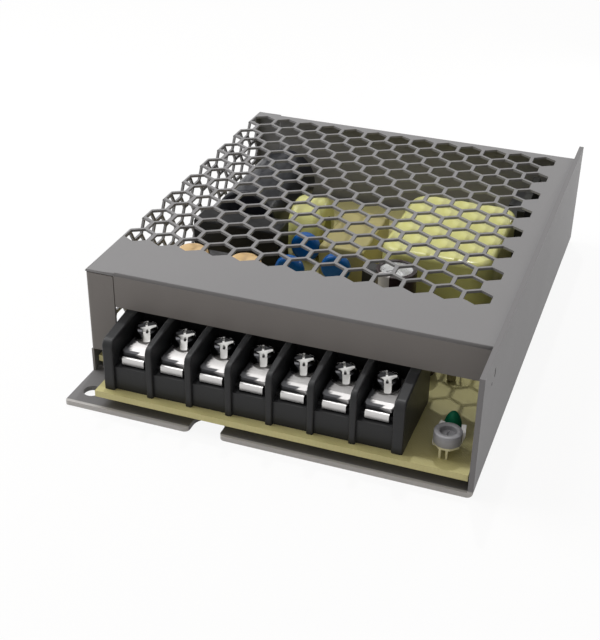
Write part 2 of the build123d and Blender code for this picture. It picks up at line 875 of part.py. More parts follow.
# Two-pin header
with BuildPart() as header_block:
    with BuildSketch(level(board_top)):
        with Locations((header_x, header_y)):
            Rectangle(header_width, header_depth)
        with Locations((header_x - header_pitch / 2, header_y), (header_x + header_pitch / 2, header_y)):
            Rectangle(header_pin, header_pin, mode=Mode.SUBTRACT)
    extrude(amount=header_height)
save(header_block.part, "header_block")

with BuildPart() as header_pins:
    with BuildSketch(level(board_top)):
        with Locations((header_x - header_pitch / 2, header_y), (header_x + header_pitch / 2, header_y)):
            Rectangle(header_pin, header_pin)
    extrude(amount=header_pin_height)
save(header_pins.part, "header_pins")

# Transformer: a moulded foot with pins and a taped winding with rounded corners
transformer_mid_x = transformer_left + transformer_width / 2
transformer_mid_y = transformer_front + transformer_depth / 2
with BuildPart() as transformer_foot:
    with BuildSketch(level(board_top)):
        with Locations((transformer_mid_x, transformer_mid_y)):
            RectangleRounded(
                transformer_width - transformer_base_margin * 2,
                transformer_depth - transformer_base_margin * 2, transformer_corner / 2,
            )
    extrude(amount=transformer_base)
save(transformer_foot.part, "transformer_foot")

with BuildPart() as transformer_winding:
    with BuildSketch(level(board_top + transformer_base)):
        with Locations((transformer_mid_x, transformer_mid_y)):
            RectangleRounded(transformer_width, transformer_depth, transformer_corner)
    extrude(amount=transformer_top - board_top - transformer_base)
    fillet(transformer_winding.edges().group_by(Axis.Z)[-1], transformer_edge)
save(transformer_winding.part, "transformer_winding")

# Output capacitors: cans in sleeves, with a rolled bead at the top
with BuildPart() as output_capacitors:
    for can_place_x, can_place_y, can_size, can_tall in output_cans:
        with BuildSketch(level(board_top)):
            with Locations((can_place_x, can_place_y)):
                Circle(can_size - output_can_sleeve)
        extrude(amount=can_tall)
        fillet(output_capacitors.edges(Select.LAST).group_by(Axis.Z)[-1], output_can_bead)
        with BuildSketch(level(board_top + can_tall)):
            with Locations((can_place_x, can_place_y)):
                Rectangle((can_size - output_can_rim) * 1.4, output_can_vent, rotation=45)
                Rectangle((can_size - output_can_rim) * 1.4, output_can_vent, rotation=-45)
        extrude(amount=-output_can_vent_depth, mode=Mode.SUBTRACT)
save(output_capacitors.part, "output_capacitors")

with BuildPart() as capacitor_sleeves:
    for can_place_x, can_place_y, can_size, can_tall in output_cans:
        with BuildSketch(level(board_top)):
            with Locations((can_place_x, can_place_y)):
                Circle(can_size)
                Circle(can_size - output_can_sleeve, mode=Mode.SUBTRACT)
        extrude(amount=can_tall)
        with BuildSketch(level(board_top + can_tall)):
            with Locations((can_place_x, can_place_y)):
                Circle(can_size)
                Circle(can_size - output_can_rim, mode=Mode.SUBTRACT)
        extrude(amount=output_can_sleeve)
        rim_edges = capacitor_sleeves.edges(Select.LAST).group_by(Axis.Z)[-1]
        fillet(rim_edges.sort_by(SortBy.RADIUS)[-1], output_can_sleeve)
save(capacitor_sleeves.part, "capacitor_sleeves")

# Heat sink along the right wall with two power devices on it
with BuildPart() as heat_sink:
    with BuildSketch(level(board_top)):
        with Locations((sink_left, sink_front)):
            Rectangle(sink_gauge, sink_length, align=(Align.MIN, Align.MIN))
    extrude(amount=sink_height)
save(heat_sink.part, "heat_sink")

with BuildPart() as power_devices:
    for index in range(2):
        with BuildSketch(facing_side(sink_left - switch_gauge)):
            with Locations((sink_front + switch_first + switch_pitch * index, board_top + switch_lift)):
                Rectangle(
                    switch_width, switch_height - switch_lift * 2, align=(Align.MIN, Align.MIN)
                )
        extrude(amount=switch_gauge)
save(power_devices.part, "power_devices")

# Fuse with end caps, lying behind the block
with BuildPart() as fuse:
    with BuildSketch(facing_front(fuse_y)):
        with Locations((fuse_x, board_top + fuse_radius + seat_gap)):
            Circle(fuse_radius - 0.15)
    extrude(amount=-fuse_length)
save(fuse.part, "fuse")

with BuildPart() as fuse_caps:
    for start in (fuse_y, fuse_y + fuse_length - fuse_cap):
        with BuildSketch(facing_front(start)):
            with Locations((fuse_x, board_top + fuse_radius + seat_gap)):
                Circle(fuse_radius)
                Circle(fuse_radius - 0.15, mode=Mode.SUBTRACT)
        extrude(amount=-fuse_cap)
save(fuse_caps.part, "fuse_caps")

# Bridge rectifier standing across the case
with BuildPart() as bridge_rectifier:
    with BuildSketch(level(board_top)):
        with Locations((rectifier_left, rectifier_front)):
            Rectangle(rectifier_width, rectifier_depth, align=(Align.MIN, Align.MIN))
    extrude(amount=rectifier_height)
    chamfer(bridge_rectifier.edges().group_by(Axis.Z)[-1], 0.6)
save(bridge_rectifier.part, "bridge_rectifier")

# Control chip with its legs
with BuildPart() as control_chip:
    with BuildSketch(level(board_top + chip_lift)):
        with Locations((chip_left, chip_front)):
            Rectangle(chip_length, chip_width, align=(Align.MIN, Align.MIN))
    extrude(amount=chip_gauge)
save(control_chip.part, "control_chip")

with BuildPart() as chip_legs:
    with BuildSketch(level(board_top)):
        for index in range(chip_leg_count):
            leg_x = chip_left + chip_length / 2 + chip_leg_pitch * (index - (chip_leg_count - 1) / 2)
            for leg_y in (chip_front - lead_radius, chip_front + chip_width + lead_radius):
                with Locations((leg_x, leg_y)):
                    Rectangle(lead_radius * 3, lead_radius * 2)
    extrude(amount=chip_lift + chip_gauge / 2)
save(chip_legs.part, "chip_legs")

# Upright resistor by the right wall, its upper lead bent over and down to the board
upright_top = board_top + upright_lift + upright_length
with BuildPart() as upright_resistor:
    with BuildSketch(level(board_top + upright_lift)):
        with Locations((upright_x, upright_y)):
            Circle(upright_radius)
    extrude(amount=upright_length)
    fillet(upright_resistor.edges().filter_by(GeomType.CIRCLE), upright_radius * 0.4)
save(upright_resistor.part, "upright_resistor")

with BuildPart() as resistor_leads:
    with BuildLine(facing_front(upright_y)) as lead_path:
        FilletPolyline(
            (upright_x, upright_top), (upright_x, upright_top + upright_wire_rise),
            (upright_x + upright_wire_span, upright_top + upright_wire_rise),
            (upright_x + upright_wire_span, board_top), radius=upright_wire * 2,
        )
    with BuildSketch(level(board_top)):
        with Locations((upright_x + upright_wire_span, upright_y)):
            Circle(upright_wire)
    sweep(path=lead_path.wire())
    with BuildSketch(level(board_top)):
        with Locations((upright_x, upright_y)):
            Circle(upright_wire)
    extrude(amount=upright_lift)
save(resistor_leads.part, "resistor_leads")
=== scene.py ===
import bmesh
import bpy
import numpy as np
from mathutils import Matrix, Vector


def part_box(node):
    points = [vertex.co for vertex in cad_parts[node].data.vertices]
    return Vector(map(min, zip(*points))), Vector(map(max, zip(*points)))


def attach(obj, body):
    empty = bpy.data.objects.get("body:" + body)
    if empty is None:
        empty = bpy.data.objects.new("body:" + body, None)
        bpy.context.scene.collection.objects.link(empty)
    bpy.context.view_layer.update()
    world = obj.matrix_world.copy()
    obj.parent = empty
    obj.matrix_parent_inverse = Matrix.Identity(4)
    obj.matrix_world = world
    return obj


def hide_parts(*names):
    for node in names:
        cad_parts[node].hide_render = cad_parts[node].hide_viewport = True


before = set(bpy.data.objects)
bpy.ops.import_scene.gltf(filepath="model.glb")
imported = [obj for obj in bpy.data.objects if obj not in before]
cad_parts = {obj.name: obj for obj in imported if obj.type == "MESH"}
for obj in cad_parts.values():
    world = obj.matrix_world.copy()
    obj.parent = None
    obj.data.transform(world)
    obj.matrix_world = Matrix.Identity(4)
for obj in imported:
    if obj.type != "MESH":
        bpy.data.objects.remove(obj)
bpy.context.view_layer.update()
print("frame loaded:", len(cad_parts), "nodes")

mm = 0.001


class Wire:  # a socket that can be written in sums: each operator adds its Math node
    def __init__(self, finish, socket):
        self.finish = finish
        self.socket = socket

    def joined(self, operation, first, second=0.0):
        return self.finish.add("ShaderNodeMath", {"operation": operation}, {0: first, 1: second})

    def __add__(self, other):
        return self.joined("ADD", self, other)

    def __radd__(self, other):
        return self.joined("ADD", other, self)

    def __sub__(self, other):
        return self.joined("SUBTRACT", self, other)

    def __rsub__(self, other):
        return self.joined("SUBTRACT", other, self)

    def __mul__(self, other):
        return self.joined("MULTIPLY", self, other)

    def __lt__(self, other):
        return self.joined("LESS_THAN", self, other)

    def __abs__(self):
        return self.joined("ABSOLUTE", self)

    def wave(self, pitch):  # sine of the value, one swing for each pitch
        return self.joined("SINE", self * (2 * np.pi / pitch))

    def between(self, low, high):  # 0 below low, 1 above high, smooth between
        sockets = {0: self, 1: low, 2: high, 3: 0.0, 4: 1.0}
        return self.finish.add("ShaderNodeMapRange", {"interpolation_type": "SMOOTHSTEP"}, sockets)


class Finish:  # one material, and the ways of adding nodes to it
    def __init__(self, name, colour, rough, metal=0.0, **fixed):
        self.material = bpy.data.materials.new(name)
        self.material.use_nodes = True
        self.tree = self.material.node_tree
        self.shader = self.tree.nodes["Principled BSDF"]
        self.place = self.add("ShaderNodeTexCoord", out="Object")
        self.feed("Base Color", colour)
        self.feed("Roughness", rough)
        self.feed("Metallic", metal)
        for socket, value in fixed.items():
            self.feed(socket.replace("_", " "), value)

    def add(self, kind, settings=None, sockets=None, out=0):
        node = self.tree.nodes.new(kind)
        for key, value in (settings or {}).items():
            setattr(node, key, value)
        for key, value in (sockets or {}).items():
            self.plug(node.inputs[key], value)
        return Wire(self, node.outputs[out])

    def plug(self, socket, value):
        if isinstance(value, Wire):
            self.tree.links.new(value.socket, socket)
        elif isinstance(value, tuple) and socket.type == "RGBA":
            socket.default_value = (*value, 1.0)
        else:
            socket.default_value = value

    def feed(self, socket, value):
        self.plug(self.shader.inputs[socket], value)

    def axes(self):  # x, y and z of the point, in metres
        split = self.add("ShaderNodeSeparateXYZ", None, {0: self.place})
        node = split.socket.node
        return [Wire(self, node.outputs[i]) for i in range(3)]

    def noise(self, scale, detail=3.0, rough=0.55, stretch=(1, 1, 1)):
        place = self.add("ShaderNodeMapping", None, {"Vector": self.place, "Scale": stretch})
        sockets = {"Vector": place, "Scale": scale, "Detail": detail, "Roughness": rough}
        return self.add("ShaderNodeTexNoise", None, sockets)

    def cells(self, scale):
        return self.add("ShaderNodeTexVoronoi", None, {"Vector": self.place, "Scale": scale}, "Distance")

    def mix(self, amount, first, second):
        return self.add("ShaderNodeMix", {"data_type": "RGBA"}, {0: amount, 6: first, 7: second}, out=2)

    def toned(self, amount, colour, tints):  # from the colour's darker tint to its lighter one
        low, high = tints
        return self.mix(amount, tinted(colour, low), tinted(colour, high))

    def bump(self, height, depth):
        sockets = {"Height": height, "Distance": depth, "Strength": 1.0}
        self.feed("Normal", self.add("ShaderNodeBump", None, sockets))


def tinted(colour, amount):  # the same colour lighter or darker
    return tuple(min(1.0, channel * amount) for channel in colour)


# sheet metal of the base and the cover: rolled grain, faint clouds and small handling marks; the base's
# front edge has a pale painted highlight; painted shade makes the cover's lip darker and warmer than its top
sheetLook = {
    "base": (0.192, 0.190, 0.195), "cover": (0.232, 0.231, 0.236), "tints": (0.93, 1.07),
    # the first colour below is a painted highlight for the base's front edge, the second painted shade for
    # the cover's lip
    "foot": (0.46, 0.45, 0.44), "paintedHighlightTop": (0.0014, 0.0020), "paintedHighlightFront": -0.0637,
    "front": (0.205, 0.194, 0.186), "frontTop": (0.0283, 0.0287), "frontEdge": -0.05045,
    "metal": 0.08, "rough": 0.48, "shine": 0.12, "clouds": 40.0, "cloudShare": 0.6,
    "grain": 900.0, "grainShare": 0.4, "grainStretch": (6.0, 0.5, 1.0),
    "marks": 260.0, "marksFrom": (0.62, 0.74), "depth": 0.000012,
}


def sheetMetal(name, colour, foot=None, front=None):
    look = sheetLook
    finish = Finish(name, colour, look["rough"], look["metal"], Specular_IOR_Level=look["shine"])
    clouds = finish.noise(look["clouds"], 4.0)
    grain = finish.noise(look["grain"], 3.0, 0.6, look["grainStretch"])
    marks = finish.noise(look["marks"], 6.0, 0.7).between(*look["marksFrom"])
    amount = clouds * look["cloudShare"] + grain * look["grainShare"]
    tone = finish.toned(amount, colour, look["tints"])
    x, y, z = finish.axes()
    # painted highlight: the base's front edge face and a thin strip of its top are made pale
    if foot:
        low = 1 - z.between(*look["paintedHighlightTop"])
        tone = finish.mix(low * (y < look["paintedHighlightFront"]), tone, foot)
    # painted shade: the cover's front lip is made darker than its top, and warm like a reflection of the
    # board
    if front:
        low = 1 - z.between(*look["frontTop"])
        tone = finish.mix(low * (y < look["frontEdge"]), tone, front)
    finish.feed("Base Color", tone)
    finish.feed("Roughness", look["rough"] - 0.07 + clouds * 0.1 + grain * 0.06 - marks * 0.05)
    finish.bump(grain, look["depth"])
    return finish.material


# moulded plastic: a fine eroded texture, a little paler where it is rubbed
mouldLook = {"clouds": 70.0, "tints": (0.85, 1.2), "swing": 0.1}


def moulded(name, colour, rough=0.45, grain=1800.0, depth=0.00002, **fixed):
    look = mouldLook
    finish = Finish(name, colour, rough, **fixed)
    texture = finish.noise(grain, 2.0)
    clouds = finish.noise(look["clouds"], 3.0)
    finish.feed("Base Color", finish.toned(clouds, colour, look["tints"]))
    finish.feed("Roughness", rough - look["swing"] / 2 + texture * look["swing"])
    finish.bump(texture, depth)
    return finish.material


# plated or tinned metal with drawn streaks
plateLook = {"streaks": 700.0, "spots": 350.0, "tints": (0.86, 1.0), "depth": 0.000006}


def plated(name, colour, rough, streak=(1.0, 14.0, 1.0)):
    look = plateLook
    finish = Finish(name, colour, rough, 1.0)
    streaks = finish.noise(look["streaks"], 3.0, 0.6, streak)
    spots = finish.noise(look["spots"], 4.0)
    finish.feed("Base Color", finish.toned(spots, colour, look["tints"]))
    finish.feed("Roughness", rough - 0.04 + streaks * 0.1 + spots * 0.05)
    finish.bump(streaks, look["depth"])
    return finish.material


# screw heads: domes painted dark in place of their dark reflections, bright where the recess is struck, on
# painted highlights and on the thread
screwLook = {
    # the dome's dark colour is painted in place of its dark reflections
    "dome": (0.03, 0.03, 0.032), "domeTints": (0.6, 1.6), "domeRough": 0.14,
    "recess": (0.80, 0.79, 0.77), "recessTints": (0.86, 1.0), "recessRough": 0.34,
    "spots": 500.0, "depth": 0.00001,
}


def struckMetalWithPaintedLight():
    look = screwLook
    finish = Finish("screwPlate", look["recess"], look["recessRough"], 1.0)
    struck = finish.add("ShaderNodeAttribute", {"attribute_name": "bright"}, out="Fac")
    spots = finish.noise(look["spots"], 4.0)
    dome = finish.toned(spots, look["dome"], look["domeTints"])
    recess = finish.toned(spots, look["recess"], look["recessTints"])
    finish.feed("Base Color", finish.mix(struck, dome, recess))
    rise = look["recessRough"] - look["domeRough"]
    finish.feed("Roughness", look["domeRough"] + struck * rise + spots * 0.06)
    finish.bump(spots, look["depth"])
    return finish.material


# clamp plates: plated, with a painted dark reflection of the left barrier that creeps in over the ribs from
# one side
clampLook = {
    "plate": (0.50, 0.49, 0.48), "top": (0.37, 0.36, 0.355), "topTints": (0.85, 1.1),
    # the dark colour is the clamps' painted reflection of the left barrier, and the darker flat of the
    # terminal plates
    "darkTone": (0.055, 0.055, 0.058), "rough": 0.34, "streaks": 700.0, "depth": 0.000006,
}


def clampMetal():
    look = clampLook
    finish = Finish("clampPlate", look["plate"], look["rough"], 1.0)
    paintedReflection = finish.add("ShaderNodeAttribute", {"attribute_name": "paintedReflection"}, out="Fac")
    streaks = finish.noise(look["streaks"], 3.0, 0.6, (14.0, 1.0, 1.0))
    plate = finish.toned(streaks, look["top"], look["topTints"])
    finish.feed("Base Color", finish.mix(paintedReflection, plate, look["darkTone"]))
    finish.feed("Roughness", look["rough"] - 0.05 + streaks * 0.12 + paintedReflection * 0.1)
    finish.bump(streaks, look["depth"])
    return finish.material


# terminal plates: the clamps' plating, darker on the flat behind the rolled nose
noseLook = {"tints": (1.1, 1.3), "flatFrom": (-0.05985, -0.05960), "flatDarkShare": 0.8}


def noseMetal():
    look = {**clampLook, **noseLook}
    finish = Finish("terminalPlate", look["plate"], look["rough"], 1.0)
    x, y, z = finish.axes()
    streaks = finish.noise(look["streaks"], 3.0, 0.6, (1.0, 14.0, 1.0))
    flat = y.between(*look["flatFrom"]) * look["flatDarkShare"]
    plate = finish.toned(streaks, look["plate"], look["tints"])
    finish.feed("Base Color", finish.mix(flat, plate, look["darkTone"]))
    finish.feed("Roughness", look["rough"] - 0.03 + streaks * 0.06)
    finish.bump(streaks, look["depth"])
    return finish.material


# board laminate: woven glass under a cream face
boardLook = {
    "colour": (0.56, 0.52, 0.25), "lift": 1.12, "shade": (0.44, 0.40, 0.17), "rough": 0.42, "shine": 0.45,
    "weave": 0.0008, "clouds": 55.0, "fibres": 500.0, "depth": 0.000012,
}


def laminate():
    look = boardLook
    finish = Finish("boardLaminate", look["colour"], look["rough"], Specular_IOR_Level=look["shine"])
    x, y, z = finish.axes()
    weave = x.wave(look["weave"]) * y.wave(look["weave"])
    clouds = finish.noise(look["clouds"], 4.0)
    fibres = finish.noise(look["fibres"], 3.0, 0.6, (1.0, 1.0, 6.0))
    amount = clouds * 0.7 + fibres * 0.25 + weave * 0.04
    finish.feed("Base Color", finish.mix(amount, look["shade"], tinted(look["colour"], look["lift"])))
    finish.feed("Roughness", look["rough"] - 0.06 + fibres * 0.14)
    finish.bump(weave + fibres, look["depth"])
    return finish.material


# yellow polyester tape, wound in layers: fine ridges, small bubbles and a lap line
tapeLook = {
    "colour": (0.70, 0.70, 0.27), "lift": 1.06, "deep": (0.58, 0.57, 0.18), "rough": 0.34, "coatRough": 0.12,
    "wrinkles": 90.0, "fine": 600.0, "lap": 0.0061, "lapHalf": 0.05, "depth": 0.00002,
}


def tape(name, share=1.0):
    look = tapeLook
    colour = tinted(look["colour"], share)
    finish = Finish(name, colour, look["rough"], Coat_Roughness=look["coatRough"])
    x, y, z = finish.axes()
    wrinkles = finish.noise(look["wrinkles"], 4.0, 0.5, (1.0, 1.0, 3.5))
    fine = finish.noise(look["fine"], 2.0)
    lap = abs(z.wave(look["lap"])) < look["lapHalf"]
    amount = wrinkles * 0.8 + lap * 0.3
    finish.feed("Base Color", finish.mix(amount, tinted(colour, look["lift"]), look["deep"]))
    finish.feed("Roughness", look["rough"] - 0.08 + wrinkles * 0.2)
    finish.feed("Coat Weight", 0.25 + fine * 0.2)
    finish.bump(wrinkles + fine * 0.1 - lap * 0.4, look["depth"])
    return finish.material


# dipped ceramic: thick lacquer with a soft orange peel
dipLook = {
    "colour": (0.0, 0.075, 0.30), "light": (0.0, 0.115, 0.42), "rough": 0.3, "coat": 0.12, "coatRough": 0.1,
    "shine": 0.25, "peel": 420.0, "clouds": 130.0, "depth": 0.00004,
}


def dipped():
    look = dipLook
    finish = Finish(
        "blueCeramic", look["colour"], look["rough"],
        Coat_Weight=look["coat"], Coat_Roughness=look["coatRough"], Specular_IOR_Level=look["shine"],
    )
    peel = finish.noise(look["peel"], 3.0)
    clouds = finish.noise(look["clouds"], 4.0)
    finish.feed("Base Color", finish.mix(clouds, look["colour"], look["light"]))
    finish.feed("Roughness", look["rough"] - 0.04 + peel * 0.16)
    finish.bump(peel, look["depth"])
    return finish.material


# shrink sleeve of a can: smooth, with faint wrinkles and, if asked, a pale stripe down one side
sleeveLook = {
    "rough": 0.3, "coatRough": 0.12, "shine": 0.25, "tints": (0.8, 1.3), "wrinkles": 160.0, "depth": 0.00001,
}

# the tall can's stripe: the can's axis in the case, the stripe's turn about it and half its width
stripeLook = {"x": 0.0168, "y": -0.0169, "turn": -2.0, "half": 0.35, "colour": (0.62, 0.60, 0.58)}


def sleeve(name, colour, coat, stripe=None):
    look = sleeveLook
    finish = Finish(
        name, colour, look["rough"],
        Coat_Weight=coat, Coat_Roughness=look["coatRough"], Specular_IOR_Level=look["shine"],
    )
    wrinkles = finish.noise(look["wrinkles"], 3.0, 0.5, (1.0, 1.0, 0.4))
    tone = finish.toned(wrinkles, colour, look["tints"])
    if stripe:
        x, y, z = finish.axes()
        turn = x.joined("ARCTAN2", y - stripe["y"], x - stripe["x"])
        tone = finish.mix(abs(turn - stripe["turn"]) < stripe["half"], tone, stripe["colour"])
    finish.feed("Base Color", tone)
    finish.feed("Roughness", look["rough"] - 0.06 + wrinkles * 0.14)
    finish.bump(wrinkles, look["depth"])
    return finish.material


# enamelled wire laid in turns round an upright limb, with painted shade in the grooves between turns and a
# painted highlight on their crests
turnsLook = {
    "colour": (0.80, 0.54, 0.24), "tints": (0.45, 1.1), "pitch": 0.0007, "sway": 0.0002, "rough": 0.3,
    "coat": 0.4, "coatRough": 0.1, "clouds": 300.0, "depth": 0.0001,
}


def turns():
    look = turnsLook
    finish = Finish(
        "tanTurns", look["colour"], look["rough"], Coat_Weight=look["coat"], Coat_Roughness=look["coatRough"]
    )
    x, y, z = finish.axes()
    clouds = finish.noise(look["clouds"], 3.0)
    ridge = abs((z + clouds * look["sway"]).wave(look["pitch"] * 2))
    # painted shade and highlight: darker where the turns meet, lighter on each turn's crest
    finish.feed("Base Color", finish.toned(ridge, look["colour"], look["tints"]))
    finish.feed("Roughness", look["rough"] - 0.06 + clouds * 0.18)
    finish.bump(ridge, look["depth"])
    return finish.material


# sintered ferrite: dark, dry and speckled
ferriteLook = {
    "colour": (0.03, 0.03, 0.032), "tints": (0.7, 1.8), "rough": 0.6, "specks": 1500.0, "chips": 900.0,
    "depth": 0.00004,
}


def ferrite():
    look = ferriteLook
    finish = Finish("ferriteCore", look["colour"], look["rough"])
    specks = finish.noise(look["specks"], 4.0, 0.7)
    finish.feed("Base Color", finish.toned(specks, look["colour"], look["tints"]))
    finish.feed("Roughness", look["rough"] - 0.1 + finish.cells(look["chips"]) * 0.3)
    finish.bump(specks, look["depth"])
    return finish.material


# lamp lens: tinted resin, a little cloudy
lensLook = {
    "colour": (0.0, 0.10, 0.045), "tint": 0.8, "light": (0.0, 0.17, 0.08), "rough": 0.55, "shine": 0.2,
    "clouds": 500.0, "depth": 0.00001,
}


def lens():
    look = lensLook
    finish = Finish("greenLens", look["colour"], look["rough"], Specular_IOR_Level=look["shine"])
    clouds = finish.noise(look["clouds"], 2.0)
    finish.feed("Base Color", finish.mix(clouds, tinted(look["colour"], look["tint"]), look["light"]))
    finish.feed("Roughness", look["rough"] - 0.05 + clouds * 0.1)
    finish.bump(clouds, look["depth"])
    return finish.material


# white glazed fuse body, a little cloudy
glazeLook = {
    "colour": (0.72, 0.70, 0.64), "tints": (0.9, 1.05), "rough": 0.25, "coat": 0.3, "coatRough": 0.1,
    "clouds": 220.0, "depth": 0.00002,
}


def glazed():
    look = glazeLook
    finish = Finish(
        "fuseBody", look["colour"], look["rough"], Coat_Weight=look["coat"], Coat_Roughness=look["coatRough"]
    )
    clouds = finish.noise(look["clouds"], 4.0)
    finish.feed("Base Color", finish.toned(clouds, look["colour"], look["tints"]))
    finish.feed("Roughness", look["rough"] - 0.05 + clouds * 0.15)
    finish.bump(clouds, look["depth"])
    return finish.material


finishes = [
    sheetMetal("caseMetal", sheetLook["base"], foot=sheetLook["foot"]),
    sheetMetal("coverMetal", sheetLook["cover"], front=sheetLook["front"]),
    sheetMetal("sinkMetal", (0.045, 0.045, 0.042)),
    noseMetal(), struckMetalWithPaintedLight(), clampMetal(), laminate(), lens(), ferrite(), turns(), dipped(), glazed(),
    plated("zincSteel", (0.60, 0.60, 0.62), 0.28),
    plated("tinnedWire", (0.74, 0.73, 0.71), 0.25),
    plated("canMetal", (0.72, 0.72, 0.72), 0.25, (2.0, 2.0, 2.0)),
    tape("ringTape"),
    tape("transformerTape", 1.02),
    sleeve("blackSleeve", (0.014, 0.015, 0.020), 0.15),
    sleeve("brownSleeve", (0.030, 0.018, 0.020), 0.3, stripeLook),
    moulded("blockPlastic", (0.016, 0.0165, 0.018), 0.42, 1600.0, 0.00001, Specular_IOR_Level=0.3),
    moulded("whiteTin", (0.90, 0.89, 0.87), 0.35, 900.0, 0.000005),
    moulded("insulator", (0.06, 0.06, 0.055), 0.4, 900.0),
    moulded("trimmerGrey", (0.25, 0.25, 0.265), 0.4),
    moulded("creamPlastic", (0.58, 0.55, 0.34), 0.45, 1200.0, 0.00001),
    moulded("blackCase", (0.010, 0.010, 0.011), 0.42, 900.0, 0.000004, Specular_IOR_Level=0.2),
    moulded("khakiCase", (0.42, 0.37, 0.15), 0.35, 700.0),
    moulded("devicePlastic", (0.02, 0.02, 0.021), 0.5, 1400.0),
    moulded("resistorBody", (0.30, 0.27, 0.15), 0.45, 900.0, 0.00001, Specular_IOR_Level=0.3),
]
# by the name asked for: a number is added to a name that the frame already uses
looks = {material.name.split(".")[0]: material for material in finishes}
nodeLooks = {
    "base_chassis": "caseMetal", "cover": "coverMetal", "cover_screws": "zincSteel",
    "insulating_sheet": "insulator", "board_standoffs": "zincSteel", "circuit_board": "boardLaminate",
    "board_screws": "zincSteel", "terminal_block": "blockPlastic", "terminal_plates": "terminalPlate",
    "trimmer_base": "creamPlastic", "trimmer_dial": "trimmerGrey", "trimmer_clips": "tinnedWire",
    "indicator_lamp": "greenLens", "lamp_leads": "tinnedWire", "reservoir_capacitor": "blackSleeve",
    "reservoir_leads": "tinnedWire", "line_capacitor": "blackCase", "choke_core": "ferriteCore",
    "choke_windings": "tanTurns", "ring_choke": "ringTape", "disc_capacitors": "blueCeramic",
    "disc_leads": "tinnedWire", "film_capacitor": "khakiCase", "isolator": "devicePlastic",
    "header_block": "devicePlastic", "header_pins": "tinnedWire", "transformer_foot": "devicePlastic",
    "transformer_winding": "transformerTape", "output_capacitors": "canMetal",
    "capacitor_sleeves": "brownSleeve", "heat_sink": "sinkMetal", "power_devices": "devicePlastic",
    "fuse": "fuseBody", "fuse_caps": "tinnedWire", "bridge_rectifier": "devicePlastic",
    "control_chip": "devicePlastic", "chip_legs": "tinnedWire", "upright_resistor": "resistorBody",
    "resistor_leads": "tinnedWire",
}
for name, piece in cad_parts.items():
    key = nodeLooks.get(name)
    if name.startswith("clamp_plate"):
        key = "clampPlate"
    if name.startswith("terminal_screw"):
        key = "screwPlate"
    for holder in piece.material_slots:
        holder.material = looks[key]
print("materials:", len(looks))


def gridFaces(rows, columns):
    # quads of a grid of rows by columns, each row closed into a ring
    row = np.arange(rows - 1)[:, None] * columns
    column = np.arange(columns)[None, :]
    after = (column + 1) % columns
    quads = np.stack([row + column, row + after, row + after + columns, row + column + columns], axis=-1)
    return quads.reshape(-1, 4).tolist()


def meshFrom(name, grid, look, sharp=0.7):
    # a grid of points, rows by columns, made a mesh: doubles merged, faces turned outwards
    mesh = bpy.data.meshes.new(name)
    mesh.from_pydata(grid.reshape(-1, 3).tolist(), [], gridFaces(*grid.shape[:2]))
    work = bmesh.new()
    work.from_mesh(mesh)
    bmesh.ops.remove_doubles(work, verts=work.verts, dist=1e-6)
    bmesh.ops.dissolve_degenerate(work, edges=work.edges, dist=1e-7)
    bmesh.ops.recalc_face_normals(work, faces=work.faces)
    work.to_mesh(mesh)
    work.free()
    mesh.shade_smooth()
    mesh.set_sharp_from_angle(angle=sharp)
    piece = bpy.data.objects.new(name, mesh)
    bpy.context.scene.collection.objects.link(piece)
    mesh.materials.append(looks[look])
    return piece


def joinedPiece(name, parts):
    # several pieces made one object
    with bpy.context.temp_override(active_object=parts[0], selected_editable_objects=parts):
        bpy.ops.object.join()
    parts[0].name = name
    return parts[0]


def lathe(profile, around=96):
    # each profile point, a radius and a height, carried round the upright axis
    turn = np.linspace(0, 2 * np.pi, around, endpoint=False)
    radius, height = np.array(profile, float).T[:, :, None]
    return np.stack([radius * np.cos(turn), radius * np.sin(turn), height + 0 * turn], axis=-1)


def softStep(value, soft):
    # 0 where the value is negative, 1 past the soft width, smooth between
    share = np.clip(value / soft, 0.0, 1.0)
    return share * share * (3 - 2 * share)


def placed(grid, centre):
    # millimetres about a centre that is given in metres
    return grid * mm + np.array(centre)


def boxOf(node):
    # a node's lower and upper corner and its middle, as arrays in metres
    low, high = (np.array(corner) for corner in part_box(node))
    return low, high, (low + high) / 2


def turnedBy(points, angle):
    # places turned about the upright axis
    x, y, z = np.moveaxis(points, -1, 0)
    cos, sin = np.cos(angle), np.sin(angle)
    return np.stack([x * cos - y * sin, x * sin + y * cos, z], axis=-1)


def readAll(items, name):
    # one property of all the points or faces of a mesh, as rows of three
    flat = np.empty(len(items) * 3)
    items.foreach_get(name, flat)
    return flat.reshape(-1, 3)


def shaded(piece, name, values):
    # one value for each point, kept on the mesh for its material
    layer = piece.data.attributes.new(name, "FLOAT", "POINT")
    layer.data.foreach_set("value", values.astype(np.float32))


# terminal screws: a pan head whose slot opens at the rim, flares into the arms of a cross and ends in
# a sloped far wall; threaded shank below
screwShape = {
    "ways": 7, "headRadius": 3.1, "rim": 1.2, "dome": 1.95, "edge": 0.18, "full": 3.0,
    "slotHalf": 0.86, "flareFrom": -1.7, "flare": 1.0, "armReach": 2.15, "armEnd": 1.4, "centre": -0.45,
    "floor": 1.45, "fall": 0.42, "wall": 1.9, "socket": 0.34, "socketDepth": 0.35, "soft": 0.1,
    "backHalf": 0.3, "backShift": 0.1, "backReach": 2.5, "backDepth": 0.3, "turn": 0.35, "turnSwing": 0.05,
    "shank": 1.6, "length": 6.5, "threadPitch": 0.6, "threadDepth": 0.22, "around": 168, "headRings": 64,
    "brightTop": 2.55, "thread": 0.85,
}


def domeHeight(shape, away):
    # a quarter superellipse from the crown down to the rim
    share = np.clip(away / shape["headRadius"], 0, 1)
    return shape["rim"] + shape["dome"] * (1 - share ** shape["full"]) ** (1 / shape["full"])


